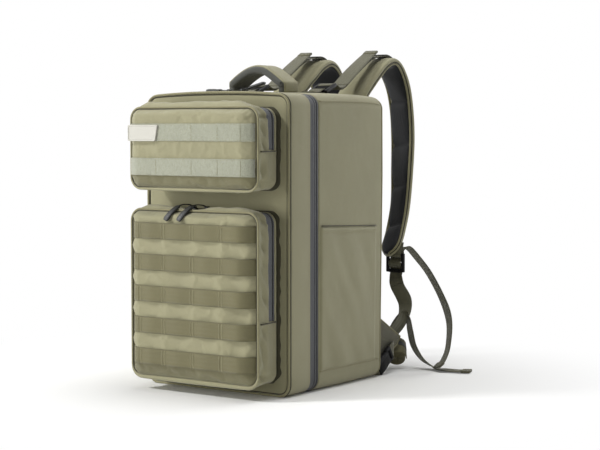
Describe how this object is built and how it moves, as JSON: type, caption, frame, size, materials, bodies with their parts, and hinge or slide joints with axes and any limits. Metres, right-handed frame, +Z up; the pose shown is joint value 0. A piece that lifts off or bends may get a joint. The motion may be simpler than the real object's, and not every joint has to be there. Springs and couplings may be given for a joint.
{
  "type": "drone carrying case",
  "caption": "Padded box-shaped backpack case for a drone, with a side-opening zipped lid, zipped front pockets with webbing rows, carry handle, shoulder straps and waist belt.",
  "frame": {"origin": "centre of the base of the main box, on the surface it stands on", "axes": "+X to the right seen from the front, front pockets towards -Y, shoulder straps towards +Y, +Z up"},
  "size_m": [0.4699, 0.5246, 0.5503],
  "materials": {
    "olive_fabric": "coated woven polyester, matt",
    "webbing": "ribbed woven webbing",
    "loop_fabric": "pale loop pile",
    "label": "smooth blank label",
    "zip_tape": "woven zip tape with moulded coil",
    "zip_metal": "dark enamelled slider",
    "buckle_plastic": "moulded acetal",
    "mesh": "spacer mesh",
    "lining": "dark lining fabric",
    "foam": "closed-cell foam board with brushed cover",
    "board": "stiff sheet"
  },
  "bodies": {
    "case": {"rear_shell": "olive_fabric", "rear_zipper_tape": "zip_tape", "hinge_gusset": "olive_fabric", "back_board": "board", "foam_insert": "foam", "side_pockets": "olive_fabric", "back_pads": "mesh", "strap_yoke": "webbing", "handle_cover": "olive_fabric", "handle_lining": "lining", "lifter_anchors": "webbing", "lifter_web_right": "webbing", "lifter_web_left": "webbing", "lower_web_right": "webbing", "lower_web_left": "webbing", "strap_wings": "webbing", "belt_webbing": "webbing", "belt_rolls": "webbing", "belt_buckle_socket": "buckle_plastic", "belt_buckle_plug": "buckle_plastic"},
    "lid": {"lid_shell": "olive_fabric", "lid_piping": "zip_tape", "lid_zipper_tape": "zip_tape", "lid_net_pocket": "mesh", "upper_pocket_body": "olive_fabric", "lower_pocket_body": "olive_fabric", "pocket_zip_rear": "zip_tape", "webbing_rows_base": "webbing", "loop_strip_base": "loop_fabric"},
    "upper_flap": {"upper_pocket_flap": "olive_fabric", "upper_zip_front": "zip_tape", "upper_piping_flap": "webbing", "loop_strip_flap": "loop_fabric", "label_patch": "label"},
    "lower_flap": {"lower_pocket_flap": "olive_fabric", "lower_zip_front": "zip_tape", "lower_piping_flap": "webbing", "webbing_rows_flap": "webbing"},
    "main_slider_left": {"main_slider_left": "zip_metal"},
    "main_slider_right": {"main_slider_right": "zip_metal"},
    "main_pull_left": {"main_pull_left": "buckle_plastic"},
    "main_pull_right": {"main_pull_right": "buckle_plastic"},
    "upper_slider": {"upper_slider": "zip_metal"},
    "upper_pull": {"upper_pull": "buckle_plastic"},
    "lower_slider_left": {"lower_slider_left": "zip_metal"},
    "lower_slider_right": {"lower_slider_right": "zip_metal"},
    "lower_pull_left": {"lower_pull_left": "buckle_plastic"},
    "lower_pull_right": {"lower_pull_right": "buckle_plastic"},
    "strap_right": {"strap_pad_right": "olive_fabric", "strap_mesh_right": "mesh", "tip_loop_right": "webbing", "strap_tail_right": "webbing"},
    "ladder_right": {"ladder_lock_right": "buckle_plastic"},
    "lifter_right": {"lifter_lock_right": "buckle_plastic"},
    "strap_left": {"strap_pad_left": "olive_fabric", "strap_mesh_left": "mesh", "tip_loop_left": "webbing", "strap_tail_left": "webbing"},
    "ladder_left": {"ladder_lock_left": "buckle_plastic"},
    "lifter_left": {"lifter_lock_left": "buckle_plastic"}
  },
  "joints": [
    {"name": "lid_hinge", "type": "hinge", "parent": "case", "child": "lid", "pos_m": [-0.143, -0.064, 0.237], "axis": [0, 0, -1], "range_deg": [0, 150], "deforming": ["hinge_gusset"]},
    {"name": "upper_flap_fold", "type": "hinge", "parent": "lid", "child": "upper_flap", "pos_m": [0, -0.1953, 0.384], "axis": [1, 0, 0], "range_deg": [0, 70]},
    {"name": "lower_flap_fold", "type": "hinge", "parent": "lid", "child": "lower_flap", "pos_m": [0, -0.1953, 0.1205], "axis": [1, 0, 0], "range_deg": [0, 60]},
    {"name": "main_slider_left_slide", "type": "slide", "parent": "case", "child": "main_slider_left", "axis": [1, 0, 0], "range_m": [-0.075, 0]},
    {"name": "main_slider_right_slide", "type": "slide", "parent": "case", "child": "main_slider_right", "axis": [1, 0, 0], "range_m": [0, 0.1]},
    {"name": "main_pull_left_lift", "type": "hinge", "parent": "main_slider_left", "child": "main_pull_left", "pos_m": [-0.026, -0.064, 0.4792], "axis": [0, 1, 0], "range_deg": [0, 85]},
    {"name": "main_pull_right_lift", "type": "hinge", "parent": "main_slider_right", "child": "main_pull_right", "pos_m": [0, -0.064, 0.4792], "axis": [0, -1, 0], "range_deg": [0, 70]},
    {"name": "upper_slider_slide", "type": "slide", "parent": "upper_flap", "child": "upper_slider", "axis": [0, 0, 1], "range_m": [0, 0.028]},
    {"name": "upper_pull_lift", "type": "hinge", "parent": "upper_slider", "child": "upper_pull", "pos_m": [-0.1293, -0.153, 0.396], "axis": [0, 1, 0], "range_deg": [0, 110]},
    {"name": "lower_slider_left_slide", "type": "slide", "parent": "lower_flap", "child": "lower_slider_left", "axis": [1, 0, 0], "range_m": [-0.07, 0]},
    {"name": "lower_slider_right_slide", "type": "slide", "parent": "lower_flap", "child": "lower_slider_right", "axis": [1, 0, 0], "range_m": [0, 0.1]},
    {"name": "lower_pull_left_lift", "type": "hinge", "parent": "lower_slider_left", "child": "lower_pull_left", "pos_m": [-0.029, -0.153, 0.2928], "axis": [-1, 0, 0], "range_deg": [0, 35]},
    {"name": "lower_pull_right_lift", "type": "hinge", "parent": "lower_slider_right", "child": "lower_pull_right", "pos_m": [-0.003, -0.153, 0.2928], "axis": [-1, 0, 0], "range_deg": [0, 35]},
    {"name": "strap_right_swing", "type": "hinge", "parent": "case", "child": "strap_right", "pos_m": [0.069, 0.1368, 0.46], "axis": [1, 0, 0], "range_deg": [-12, 15], "stiffness_Nm_per_rad": 8, "deforming": ["lower_web_right", "lifter_web_right", "strap_tail_right"]},
    {"name": "ladder_right_tilt", "type": "hinge", "parent": "strap_right", "child": "ladder_right", "pos_m": [0.102, 0.2445, 0.196], "axis": [1, 0, 0], "range_deg": [-25, 30], "deforming": ["lower_web_right", "strap_tail_right"]},
    {"name": "lifter_right_tilt", "type": "hinge", "parent": "case", "child": "lifter_right", "pos_m": [0.069, 0.054, 0.47854], "axis": [1, 0, 0], "range_deg": [0, 40], "deforming": ["lifter_web_right"]},
    {"name": "strap_left_swing", "type": "hinge", "parent": "case", "child": "strap_left", "pos_m": [-0.069, 0.1368, 0.46], "axis": [1, 0, 0], "range_deg": [-12, 15], "stiffness_Nm_per_rad": 8, "deforming": ["lower_web_left", "lifter_web_left", "strap_tail_left"]},
    {"name": "ladder_left_tilt", "type": "hinge", "parent": "strap_left", "child": "ladder_left", "pos_m": [-0.102, 0.2445, 0.196], "axis": [1, 0, 0], "range_deg": [-25, 30], "deforming": ["lower_web_left", "strap_tail_left"]},
    {"name": "lifter_left_tilt", "type": "hinge", "parent": "case", "child": "lifter_left", "pos_m": [-0.069, 0.054, 0.47854], "axis": [1, 0, 0], "range_deg": [0, 40], "deforming": ["lifter_web_left"]}
  ]
}
